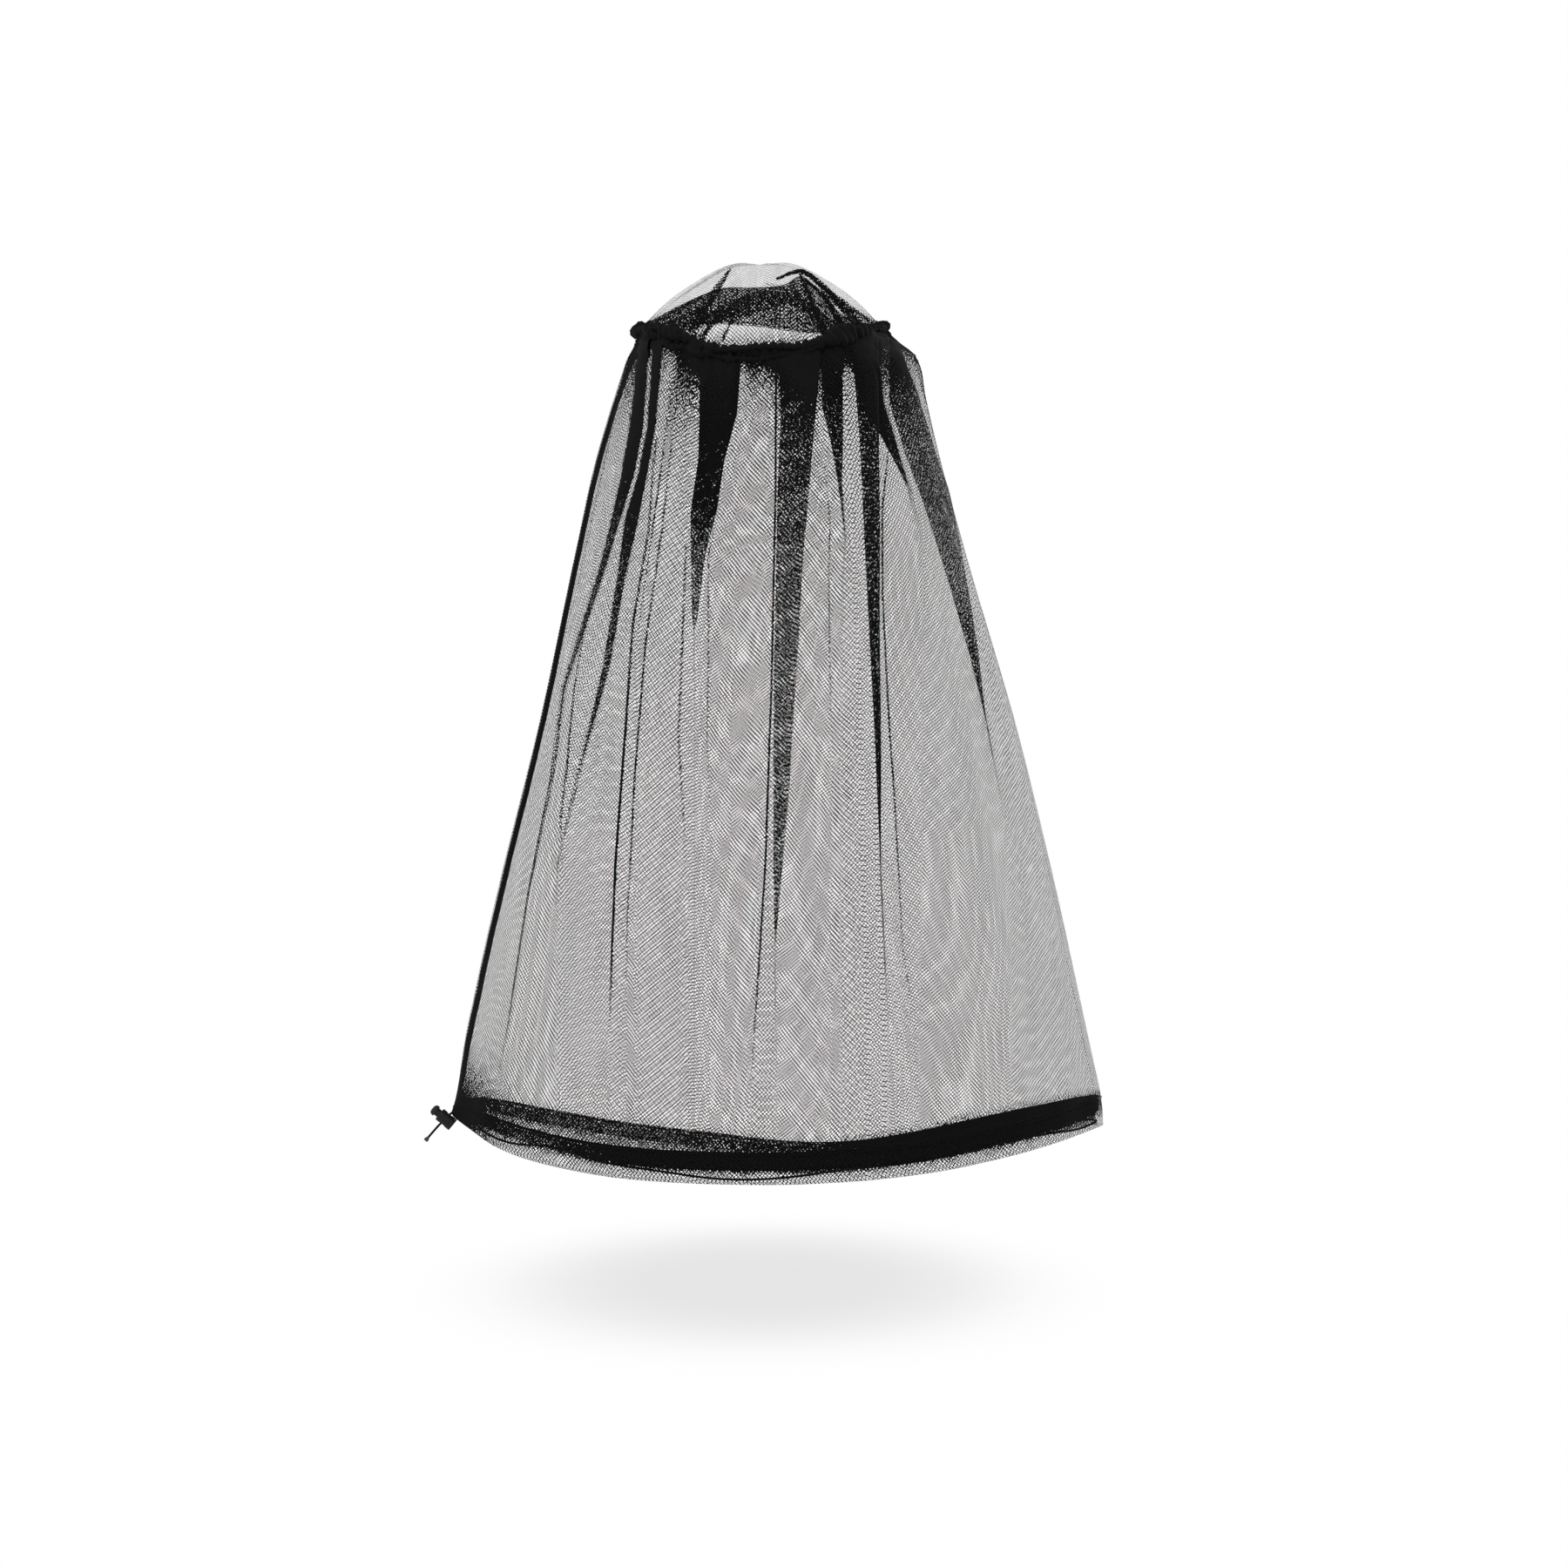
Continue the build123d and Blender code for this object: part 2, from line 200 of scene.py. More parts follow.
def textile_material(name, shade, turns, scale):
    """Twisted or woven yarn: diagonal ribs on Object coordinates."""
    tree = Tree(name)
    place = tree.node("ShaderNodeTexCoord", output=3)
    weave = tree.node("ShaderNodeTexWave", {"bands_direction": "DIAGONAL"}, output=1,
                      Vector=place, Scale=scale, Distortion=turns, Detail=1.0)
    fuzz = tree.node("ShaderNodeTexNoise", Vector=place, Scale=2500.0, Detail=3.0)
    tone = tree.between(fuzz * weave, shade, (0.5, 0.53), (2.2, 2.3))
    bump = tree.node("ShaderNodeBump", Strength=0.6, Distance=0.0003, Height=weave + fuzz * 0.4)
    shader = tree.node("ShaderNodeBsdfPrincipled", Base_Color=tone, Roughness=0.8, Normal=bump,
                       Specular_IOR_Level=0.1)
    return tree.surface(shader)


def plastic_material(name, shade, roughness):
    """Moulded plastic with a fine grain and slight wear."""
    tree = Tree(name)
    place = tree.node("ShaderNodeTexCoord", output=3)
    grain = tree.node("ShaderNodeTexNoise", Vector=place, Scale=3500.0, Detail=3.0)
    patch = tree.node("ShaderNodeTexNoise", Vector=place, Scale=180.0, Detail=4.0)
    tone = tree.between(patch, shade, (0.7, 0.72), (1.4, 1.45))
    bump = tree.node("ShaderNodeBump", Strength=0.25, Distance=0.0002, Height=grain)
    shader = tree.node("ShaderNodeBsdfPrincipled", Base_Color=tone,
                       Roughness=roughness + patch * 0.15, Normal=bump, Specular_IOR_Level=0.2)
    return tree.surface(shader)


def steel_material(name):
    """Drawn spring wire."""
    tree = Tree(name)
    place = tree.node("ShaderNodeTexCoord", output=3)
    drawn = tree.node("ShaderNodeTexNoise", Vector=place, Scale=2200.0, Detail=2.0)
    shader = tree.node("ShaderNodeBsdfPrincipled", Base_Color=(0.55, 0.55, 0.56, 1), Metallic=1.0,
                       Roughness=drawn * 0.3 + 0.2)
    return tree.surface(shader)


def add_object(name, data):
    made = bpy.data.objects.new(name, data)
    bpy.context.scene.collection.objects.link(made)
    return made


def merge_doubles(mesh):
    work = bmesh.new()
    work.from_mesh(mesh)
    bmesh.ops.remove_doubles(work, verts=work.verts, dist=1e-6)
    work.to_mesh(mesh)
    work.free()


def on_veil(piece, node=None):
    """piece moves with the veil, and stands for a CAD node if one is named."""
    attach(piece, "veil")
    if node:
        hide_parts(node)
    return piece


NET = net_material("black net", 3.0 * MM, 0.003)
TAPE = textile_material("seam tape", 0.005, 1.0, 900.0)
THREAD = textile_material("sewing thread", 0.005, 0.5, 2500.0)
CORD = textile_material("braided cord", 0.005, 1.5, 1400.0)
ELASTIC = textile_material("covered elastic", 0.005, 0.5, 1600.0)
LOCK = plastic_material("lock plastic", 0.004, 0.40)
PLUNGER = plastic_material("plunger plastic", 0.007, 0.44)
TIP = plastic_material("melted cord end", 0.035, 0.5)
STEEL = steel_material("spring steel")


# ---- surfaces of the hanging net -----------------------------------------------------------

PANEL_LEAN = 0.25       # most that the net's grain leans on a panel between two folds
FULL = 1.6              # gather of cloth bunched so tight that nothing shows through it


def smooth_read(x, xs, ys):
    """Smooth curve through the points (xs, ys), read at x."""
    x = np.clip(x, xs[0], xs[-1])
    slopes = np.gradient(ys, xs)
    i = np.clip(np.searchsorted(xs, x) - 1, 0, len(xs) - 2)
    span = xs[i + 1] - xs[i]
    t = (x - xs[i]) / span
    return ((2 * t ** 3 - 3 * t ** 2 + 1) * ys[i] + (t ** 3 - 2 * t ** 2 + t) * span * slopes[i]
            + (3 * t ** 2 - 2 * t ** 3) * ys[i + 1] + (t ** 3 - t ** 2) * span * slopes[i + 1])


def smooth_step(low, high, x):
    t = np.clip((x - low) / (high - low), 0, 1)
    return t * t * (3 - 2 * t)


def oval(share):
    """Middle, half width and half depth of the net's level oval, from 0 at the ring to 1."""
    level = share * SIDE_DROP
    left = smooth_read(level, OUTLINE[:, 0], OUTLINE[:, 1])
    right = smooth_read(level, OUTLINE[:, 0], OUTLINE[:, 2])
    depth = smooth_read(level, OUTLINE[:, 0], OUTLINE[:, 3])
    return (right - left) / 2, (right + left) / 2, depth


def ring_height(angle):
    """Height of the gathered ring: its two ends stand up, its front and back sag."""
    flat = 1 - smooth_step(0.40, 0.86, np.abs(np.cos(angle)))
    wobble = 1.3 * np.sin(5 * angle + 1) + 0.9 * np.sin(11 * angle)
    return (-14.5 * flat + wobble) * MM + 0.03 * RING_RADIUS * np.sin(angle)


def hem_height(x, y):
    """Height of the hem's fold. It hangs lower at the front's -X half and at the back."""
    across = np.clip(x - HEM_MIDDLE, -0.3, 0.3)
    dips = 0
    for (middle, spread, depth), side in ((FRONT_DIP, -y), (BACK_DIP, y)):
        dips = dips + depth * smooth_step(0.02, 0.09, side) * np.exp(-((x - middle) / spread) ** 2)
    return (-SIDE_DROP - HEM_SAG + HEM_ARC - np.sqrt(HEM_ARC ** 2 - across ** 2) + HEM_SLOPE * y
            - dips)


def drape(angle, share, outward=0.0, lift=0.0):
    """Point of the smooth hanging net. The arrays angle and share have one shape."""
    middle, width, depth = oval(share)
    x = middle + (width + outward) * np.cos(angle)
    y = (depth + outward) * np.sin(angle)
    top, bottom = ring_height(angle), hem_height(x, y)
    return np.stack([x, y, top + (bottom - top) * share + lift], axis=-1)


def bunch(points):
    """Draws the hem's corner together at the cord lock. Returns the points and how tight."""
    away = points - np.array(CORNER)
    pull = np.exp(-((away / BUNCH_REACH) ** 2).sum(axis=-1))
    return points - away * pull[..., None] * BUNCH_PULL, pull


def grid_piece(name, points, gather, material, close=False, panels=(0,), flat=None):
    """Cloth mesh over a grid of points, with its metric UV map and its gather attribute.

    The UV map is measured sideways from the middle of each panel, a run of columns between two
    folds, so that the net stays square on every panel, and each panel leans a little its own way.
    flat gives the UV map of a cloth that was cut in one flat piece instead.
    """
    rows, columns = points.shape[:2]
    along = np.concatenate([np.zeros((1, columns)), np.cumsum(
        np.linalg.norm(np.diff(points, axis=0), axis=2), axis=0)])
    across = np.concatenate([np.zeros((rows, 1)), np.cumsum(
        np.linalg.norm(np.diff(points, axis=1), axis=2), axis=1)], axis=1)
    home = np.zeros(columns - 1, dtype=int)
    lean = np.zeros(columns - 1)
    for number, (first, after) in enumerate(zip(panels, (*panels[1:], columns - 1))):
        home[first:after] = (first + after) // 2
        lean[first:after] = PANEL_LEAN * math.sin(2.4 * number)
    row, column = np.meshgrid(np.arange(rows - 1), np.arange(columns - 1), indexing="ij")
    corner_rows = np.stack([row, row + 1, row + 1, row], axis=-1)
    corner_columns = np.stack([column, column, column + 1, column + 1], axis=-1)
    if flat is None:
        start = home[column][..., None]
        v = along[corner_rows, corner_columns]
        u = (across[corner_rows, corner_columns] - across[corner_rows, start] + 0.01 * start
             + lean[column][..., None] * v)
    else:
        u, v = (part[corner_rows, corner_columns] for part in flat)
    mesh = bpy.data.meshes.new(name)
    faces = (corner_rows * columns + corner_columns).reshape(-1, 4)
    mesh.from_pydata(points.reshape(-1, 3).tolist(), [], faces.tolist())
    layer = mesh.uv_layers.new(name="cloth")
    layer.data.foreach_set("uv", np.stack([u, v], axis=-1).reshape(-1))
    tight = mesh.attributes.new("gather", "FLOAT", "POINT")
    tight.data.foreach_set("value", np.clip(gather, 0, FULL).reshape(-1).astype(np.float32))
    mesh.polygons.foreach_set("use_smooth", [True] * len(mesh.polygons))
    mesh.materials.append(material)
    piece = add_object(name, mesh)
    if close:
        merge_doubles(mesh)
    return piece


# Folds of the skirt, in order round it, in mm. Each has its least width. A pleat has rows of (height,
# x of one edge, x of the other, cover), and closes where its edges meet. A crease has rows of
# (height, x, cover). The plain net has the cover PLAIN_COVER.
PLAIN_COVER = 0.335
FRONT_FOLDS = [
    ("crease", 3.0, [(0, -98, 0.6), (-200, -140, 0.45), (-400, -197, 0.5), (-560, -226, 0.6)]),
    ("pleat", 1.6, [(0, -92, -83, 0.95), (-78, -102, -88, 0.95), (-114, -108, -95, 0.88),
                    (-150, -116, -106, 0.64), (-187, -125, -117, 0.58), (-276, -152, -146, 0.52),
                    (-346, -159, -156.6, 0.7), (-430, -175, -173.4, 0.85), (-523, -189, -188, 0.75),
                    (-575, -198, -197, 0.4)]),
    ("pleat", 1.6, [(0, -86, -72, 0.95), (-78, -92, -79, 0.95), (-114, -98, -85, 0.92),
                    (-150, -105, -92, 0.76), (-193, -111, -102, 0.60), (-260, -122, -114, 0.55),
                    (-336, -139, -136, 0.6), (-410, -155, -154, 0.6), (-460, -158, -157, 0.35)]),
    ("crease", 2.6, [(-30, -76, 0.5), (-157, -85, 0.75), (-228, -97, 0.9), (-315, -103, 1.1),
                     (-410, -110.5, 1.1), (-477, -113, 1.0), (-552, -114, 0.3)]),
    ("crease", 2.0, [(-30, -61, 0.4), (-157, -75, 0.7), (-240, -87, 0.8), (-348, -96, 0.9),
                     (-444, -100.5, 0.7), (-520, -101, 0.3)]),
    ("crease", 2.4, [(-150, -57, 0.3), (-180, -57, 0.7), (-315, -62, 0.7), (-379, -58, 0.5),
                     (-430, -56, 0.3)]),
    ("crease", 2.2, [(-15, 12, 0.95), (-133, 11.5, 0.95), (-276, 8.5, 0.95), (-348, 6, 1.0),
                     (-410, 4, 1.0), (-477, -0.3, 0.9), (-530, -3.9, 0.7), (-590, -8, 0.3)]),
    ("pleat", 1.6, [(-15, 14, 46, 0.64), (-73, 15.6, 41, 0.58), (-133, 13, 36, 0.5),
                    (-181, 11.5, 32, 0.46), (-240, 10.5, 29, 0.42), (-315, 10, 24, 0.43),
                    (-348, 10, 22.5, 0.43), (-410, 10, 17, 0.46), (-444, 10.4, 14, 0.5),
                    (-480, 10.6, 11.6, 0.6), (-578, 12, 12.4, 0.35)]),
    ("crease", 1.8, [(-85, 47, 0.3), (-150, 53, 0.6), (-190, 52, 0.75), (-255, 53, 0.6),
                     (-330, 54, 0.3)]),
    ("pleat", 1.6, [(-20, 70, 86, 0.8), (-42, 73, 89, 0.72), (-90, 77, 89, 0.62),
                    (-157, 80, 90, 0.62), (-240, 84, 90, 0.7), (-315, 87.5, 90.6, 0.8),
                    (-420, 90, 91.4, 0.9), (-468, 92.3, 93.6, 0.8), (-540, 96, 97, 0.35)]),
    ("crease", 2.0, [(-80, 99, 0.4), (-140, 92.6, 0.9), (-205, 93, 0.9), (-276, 96.5, 0.9),
                     (-315, 98.5, 0.9), (-348, 101, 0.85), (-410, 104, 0.8), (-475, 107.5, 0.6),
                     (-540, 117, 0.35)]),
    ("pleat", 1.6, [(0, 90, 99, 0.85), (-51, 98, 119, 0.52), (-97, 112, 133, 0.5),
                    (-123, 122, 143, 0.48), (-157, 134, 150, 0.46), (-200, 148, 157, 0.46),
                    (-250, 163, 166, 0.6), (-315, 177, 178, 0.7), (-380, 190, 191, 0.35)]),
]
BACK_FOLDS = [
    ("crease", 2.0, [(-20, 119, 0.7), (-100, 138, 0.6), (-315, 200, 0.5), (-560, 258, 0.6)]),
    ("pleat", 1.6, [(-10, 66, 92, 0.9), (-54, 78, 97, 0.85), (-75, 90, 104, 0.75),
                    (-121, 114, 117, 0.6), (-161, 125, 126, 0.4)]),
    ("pleat", 1.6, [(-10, 46, 65, 0.8), (-56, 47, 65, 0.62), (-85, 54, 65, 0.58),
                    (-113, 59, 64, 0.6), (-157, 65, 66.5, 0.6), (-230, 62, 63, 0.4)]),
    ("crease", 1.8, [(-10, -12, 0.31), (-60, -17, 0.31), (-100, -27, 0.31), (-137, -33, 0.4),
                     (-170, -41, 0.6), (-250, -41, 0.7), (-315, -42, 0.6), (-380, -40, 0.3)]),
    ("pleat", 1.6, [(-10, -46, -15, 0.95), (-61, -47, -19, 0.9), (-97, -48, -29, 0.85),
                    (-137, -54, -35, 0.7), (-170, -54, -44, 0.5), (-230, -53, -51.5, 0.4)]),
    ("crease", 1.8, [(-40, -69, 0.4), (-120, -80, 0.8), (-200, -92, 0.5), (-250, -99, 0.35)]),
    ("crease", 1.8, [(-180, -128, 0.4), (-276, -143, 0.75), (-336, -149, 0.85), (-379, -155, 0.6)]),
]
# Where a pleat's three layers have columns: it goes on to 1/3, comes back to 2/3 and goes on again.
PLEAT_PARTS = (0, 0.12, 0.24, 0.318, 1 / 3, 0.348, 0.43, 0.5, 0.57, 0.652, 2 / 3, 0.682, 0.76, 0.88)
PLEAT_DEPTH = 2.4 * MM
CREASE_PARTS = (0, 0.22, 0.5, 0.78)
CREASE_DEPTH = 1.2 * MM
ROWS = 120
PANEL_STEP = 0.030


def fold_edge(rows, column, share, back):
    """Angle round the oval of one column of a fold's rows, at every level, and its height."""
    heights = np.array([-row[0] for row in rows]) * MM
    places = np.array([row[column] for row in rows]) * MM
    middle, width, depth = oval(share)
    height = -SIDE_DROP * share
    for _ in range(3):
        x = np.interp(-height, heights, places)
        angle = np.arccos(np.clip((x - middle) / width, -0.995, 0.995)) * (1 if back else -1)
        top = ring_height(angle)
        height = top + (hem_height(x, depth * np.sin(angle)) - top) * share
    return angle, height


def fold_cover(rows, height):
    """Cover of a fold at every level, fading out past its two ends."""
    heights = np.array([-row[0] for row in rows]) * MM
    cover = np.interp(-height, heights, [row[-1] for row in rows])
    fade = (smooth_step(heights[0] - 25 * MM, heights[0], -height)
            * (1 - smooth_step(heights[-1], heights[-1] + 45 * MM, -height)))
    return PLAIN_COVER + (cover - PLAIN_COVER) * fade


def skirt_columns(share):
    """Angles, fold offsets and cover of every column of the skirt, and where its panels start."""
    angles, offsets, covers, panels = [], [], [], []
    plain_cover = np.full_like(share, PLAIN_COVER)
    still = np.zeros_like(share)
    last = np.full_like(share, -math.pi)
    folds = [(*fold, False) for fold in FRONT_FOLDS] + [(*fold, True) for fold in BACK_FOLDS]

    def add(angle, offset, cover):
        angles.append(angle)
        offsets.append(offset)
        covers.append(cover)

    def plain_to(low):
        steps = max(2, int(round(float(np.max(low - last)) / PANEL_STEP)))
        panels.append(len(angles))
        for step in range(steps):
            add(last + (low - last) * step / steps, still, plain_cover)
        panels.append(len(angles))

    for kind, width, rows, back in folds:
        pleat = kind == "pleat"
        low, height = fold_edge(rows, 1, share, back)
        high = fold_edge(rows, 2, share, back)[0] if pleat else low
        low, high = np.minimum(low, high), np.maximum(low, high)
        half = (high - low) / 2
        centre = (low + high) / 2
        cover = fold_cover(rows, height)
        around = oval(share)[1] * np.maximum(np.abs(np.sin(centre)), 0.35)
        least = width * MM / 2 / around
        opened = smooth_step(0.4, 2.0, half / least)
        half = np.maximum(half, least)
        low = np.maximum(centre - half, last + 0.004)
        high = np.maximum(centre + half, low + 0.006)
        plain_to(low)
        for part in (PLEAT_PARTS if pleat else CREASE_PARTS):
            if pleat and part in (1 / 3, 2 / 3):
                panels.append(len(angles))
            if pleat:
                layer = 1 - abs(3 * part - 1) if part < 2 / 3 else 3 * part - 2
                place = opened * layer + (1 - opened) * part
                offset = PLEAT_DEPTH * math.sin(2 * math.pi * part) * opened
                turn = max(0.0, 1 - min(abs(part - 1 / 3), abs(part - 2 / 3)) / 0.02)
                rim = smooth_step(0.0, 0.10, part) * smooth_step(0.0, 0.10, 1 - part)
                share_of_cover = (1 + 0.5 * turn) * rim
            else:
                place = part
                offset = CREASE_DEPTH * math.sin(math.pi * part) * (cover - PLAIN_COVER)
                share_of_cover = float(part > 0)
            add(low + (high - low) * place, offset,
                PLAIN_COVER + (cover - PLAIN_COVER) * share_of_cover)
        last = high
    plain_to(np.full_like(share, math.pi))
    add(np.full_like(share, math.pi), still, plain_cover)
    return np.stack(angles, 1), np.stack(offsets, 1), np.stack(covers, 1), panels[:-1]


def ripple(angle, share):
    """Soft waves that open out towards the hem, and fine gathers under the ring."""
    waves = (2.6 * np.sin(7 * angle + 2.0 * share + 0.6) + 1.8 * np.sin(13 * angle - 3.0 * share)
             + 1.0 * np.sin(23 * angle + 5.0 * share + 1.0))
    gathers = 1.6 * np.sin(64 * angle) + 1.1 * np.sin(89 * angle + 1.3)
    return (waves * smooth_step(0.05, 0.8, share) * 0.8 + gathers * np.exp(-share / 0.035)) * MM


def doubled(angle, x):
    """How far the hem's channel is gathered: not at all near the cord lock, fully past it."""
    return np.where(np.sin(angle) < 0, smooth_step(-0.19, -0.06, x), smooth_step(0.03, 0.10, x))


def make_skirt():
    """The skirt's net, drawn tight at the ring, in the hem's channel and at the cord lock."""
    share = np.linspace(0, 1, ROWS) ** 1.15
    angle, offset, cover, panels = skirt_columns(share)
    level = np.repeat(share[:, None], angle.shape[1], axis=1)
    points = drape(angle, level, offset + ripple(angle, level))
    height = (1 - level) * SIDE_DROP
    points, corner = bunch(points)
    casing = smooth_step(8 * MM, 11 * MM, height) * (1 - smooth_step(23 * MM, 25 * MM, height))
    tucks = 0.030 + 0.016 * np.sin(9 * angle + 1.0) + 0.012 * np.sin(23 * angle)
    tucks = tucks * (1 - 0.92 * np.exp(-((angle + 1.70) / 0.13) ** 2))
    gather = cover + 0.95 * np.exp(-(level / tucks) ** 1.3) + 0.10 * np.exp(-level / 0.15)
    gather = gather + casing * (0.12 + 0.24 * doubled(angle, points[..., 0])) + FULL * corner
    piece = grid_piece("skirt_cloth", points, gather, NET, close=True, panels=tuple(panels))
    return on_veil(piece, "skirt_net")


# ---- hem -----------------------------------------------------------------------------------

def make_hem():
    """The turned-up ply, with its raw edge turned in again under the stitches.

    path is its section: how far out from the net and how high over the fold, in mm.
    """
    columns = 420
    turn = np.linspace(-math.pi, math.pi, columns)
    x = HEM_MIDDLE + HEM_HALF_WIDTH * np.cos(turn)
    dense = 0.66 + np.where(np.sin(turn) < 0, 0.50, 0.45) * doubled(turn, x)
    path = [(0.0, 0.3), (-2.0, 0.0), (-4.2, 1.0), (-5.4, 4.0), (-5.6, 8.5), (-5.4, 10.5),
            (-5.4, 14.0), (-4.4, 19.0), (-1.6, 22.6), (-1.2, 23.6), (-2.0, 22.8), (-2.4, 19.0),
            (-2.6, 12.0)]
    points, gather = [], []
    for outward, height in path:
        share = np.full(columns, 1 - height * MM / SIDE_DROP)
        points.append(drape(turn, share, outward * MM + ripple(turn, share)))
        upper = smooth_step(7.5, 11, height)
        gather.append(0.40 + (dense - 0.40) * upper)
    points, corner = bunch(np.array(points))
    piece = grid_piece("hem_turnup", points, np.array(gather) + FULL * corner, NET,
                       close=True)
    return on_veil(piece, "hem_facing")


# ---- crown ---------------------------------------------------------------------------------

# Pressed fold lines of the crown's front, from one (x, z) in mm to another.
CREASES = [((-24, 44), (-33, 28)), ((-14, 20), (-42, -4)), ((30, 42), (74, 3)),
           ((24, 34), (46, -4)), ((-22, 4), (-29, -10)), ((-50, 12), (-70, 2)),
           ((38, 34), (84, 6)), ((5, 33), (30, 26))]


def crease_marks(points, width):
    """How close each point of the crown's front is to a pressed fold line."""
    x, z = points[..., 0] / MM, points[..., 2] / MM
    marks = np.zeros_like(x)
    for (x0, z0), (x1, z1) in CREASES:
        length = math.hypot(x1 - x0, z1 - z0)
        along = np.clip(((x - x0) * (x1 - x0) + (z - z0) * (z1 - z0)) / length ** 2, 0, 1)
        gap = np.hypot(x - x0 - along * (x1 - x0), z - z0 - along * (z1 - z0))
        marks = np.maximum(marks, np.exp(-(gap / width) ** 2) * (0.4 + 0.6 * along))
    return marks * (points[..., 1] < 0)


def make_crown():
    """Low dome of net, flat on top, with fine gathers where it meets the ring."""
    rows, columns = 60, 260
    angle = np.linspace(-math.pi, math.pi, columns)[None, :].repeat(rows, 0)
    share = np.linspace(0, 1, rows)[:, None].repeat(columns, 1)
    across = np.array([0, 22, 50, 78, 93.0]) * MM
    height = np.array([50, 49.5, 36, 16, 0.0]) * MM
    radius = RING_RADIUS * (1 - share)
    dome = smooth_read(radius, across, height)
    facets = 1.6 * np.sin(5 * angle + 0.7) + 1.1 * np.sin(9 * angle)
    pleats = 1.3 * np.sin(58 * angle) * np.exp(-share / 0.10)
    lift = (facets * np.sin(math.pi * share) + pleats) * MM
    x = radius * np.cos(angle)
    y = radius * np.sin(angle)
    z = dome + ring_height(angle) * (1 - share) ** 1.6 + lift
    points = np.stack([x, y, z], axis=-1)
    gather = 0.20 + 0.6 * np.exp(-share / 0.05) + 0.9 * crease_marks(points, 0.9)
    cut = RING_RADIUS * 1.15 * (1 - share)
    piece = grid_piece("crown_cloth", points, gather, NET, close=True,
                       flat=(cut * np.cos(angle), cut * np.sin(angle)))
    return on_veil(piece, "crown_net")


def make_crown_fold(name, top, bottom, depth, swell, gather):
    """Loose fold of the crown's net, hanging between two lines inside the dome."""
    columns, rows = 90, 26
    x = np.linspace(top[0][0], top[-1][0], columns)
    top_z, low_z = (smooth_read(x, *np.array(line, float).T) for line in (top, bottom))
    fade = np.sqrt(np.clip(1 - (x / 92.0) ** 2, 0, 1))
    points = []
    for t in np.linspace(0, 1, rows):
        turn = math.pi * t
        z = top_z - (top_z - low_z) * (1 - math.sin(turn))
        y = (depth - swell * math.cos(turn)) * fade + 1.5 * np.sin(0.12 * x + 4 * t)
        points.append(np.stack([x, y, z], axis=-1) * MM)
    points = np.array(points)
    edge = np.exp(-(np.linspace(-1, 1, rows) / 0.07) ** 2)[:, None]
    tight = gather + 0.35 * edge + 0.5 * crease_marks(points, 0.8)
    return on_veil(grid_piece(name, points, tight, NET))


# Upper and lower line of each loose fold, as (x, z) in mm.
HIGH_FOLD = ([(-90, 3), (-61, 19), (-28, 31.5), (-5, 32), (22, 36), (29, 40.5), (48, 26), (62, 12),
              (84, 2)],
             [(-90, 1), (-61, 3), (-28, 4), (0, 2), (29, -2), (62, -3), (84, 0)])
LOW_FOLD = ([(-84, 2), (-50, 9), (-20, 24), (4, 31), (20, 28), (40, 20), (60, 3)],
            [(-84, 0), (-50, 1), (-20, 10), (4, 15), (20, 20), (40, 10), (60, 0)])


def make_strand(name, path, widths, depth, cover):
    """Narrow run of tightly gathered net inside the crown, from one (x, z) point to the next."""
    rows, columns = 40, 9
    steps = np.linspace(0, 1, len(path))
    t = np.linspace(0, 1, rows)
    x, z, width = (smooth_read(t, steps, values)
                   for values in (*np.array(path, float).T, np.array(widths, float)))
    ahead = np.stack([np.gradient(x), np.gradient(z)], axis=-1)
    ahead /= np.linalg.norm(ahead, axis=1)[:, None]
    side = np.linspace(-0.5, 0.5, columns)[None, :] * width[:, None]
    frill = (0.6 * np.sin(3.1 * np.arange(columns))[None, :]
             + 0.4 * np.sin(0.9 * np.arange(rows))[:, None])
    fade = np.sqrt(np.clip(1 - (x / 93.0) ** 2, 0.02, 1))
    across = x[:, None] - ahead[:, 1:2] * side
    up = z[:, None] + ahead[:, 0:1] * side
    points = np.stack([across, depth * fade[:, None] + frill, up], axis=-1) * MM
    edge = np.abs(np.linspace(-1, 1, columns))[None, :].repeat(rows, 0)
    return on_veil(grid_piece(name, points, cover * (1 - 0.5 * edge ** 2), NET))


# name, path of (x, z), widths along it, depth of the middle, cover
CROWN_STRANDS = [
    ("right_rib", [(12, 36), (30, 42), (44, 34), (60, 18), (76, 2)], (2, 4, 5, 6, 9), -62, 1.1),
    ("right_inner", [(30, 40), (37, 24), (44, 8), (52, -10)], (2, 4, 5, 8), -66, 1.0),
    ("right_middle", [(34, 36), (48, 24), (57, 10), (64, -6)], (2, 4, 6, 12), -58, 1.0),
    ("right_outer", [(40, 36), (58, 24), (74, 12), (88, 2)], (1.5, 3, 4, 6), -50, 0.8),
    ("left_rib", [(-23, 44), (-33, 29), (-43, 14), (-55, -4)], (1.5, 6, 9, 14), -62, 0.85),
    ("left_inner", [(-10, 24), (-26, 12), (-40, -2), (-46, -12)], (1.5, 2.5, 4, 7), -66, 0.9),
    ("left_edge", [(-28, 30), (-50, 21), (-72, 10), (-90, 2)], (2, 3, 3, 4), -40, 0.7),
    ("low_tuck", [(-22, 5), (-25, -3), (-29, -12)], (1.2, 1.6, 2.4), -78, 0.9),
]


# ---- ring ----------------------------------------------------------------------------------

def ring_points(columns):
    angle = np.linspace(-math.pi, math.pi, columns)
    return angle, np.stack([RING_RADIUS * np.cos(angle), RING_RADIUS * np.sin(angle),
                            ring_height(angle)], axis=-1)


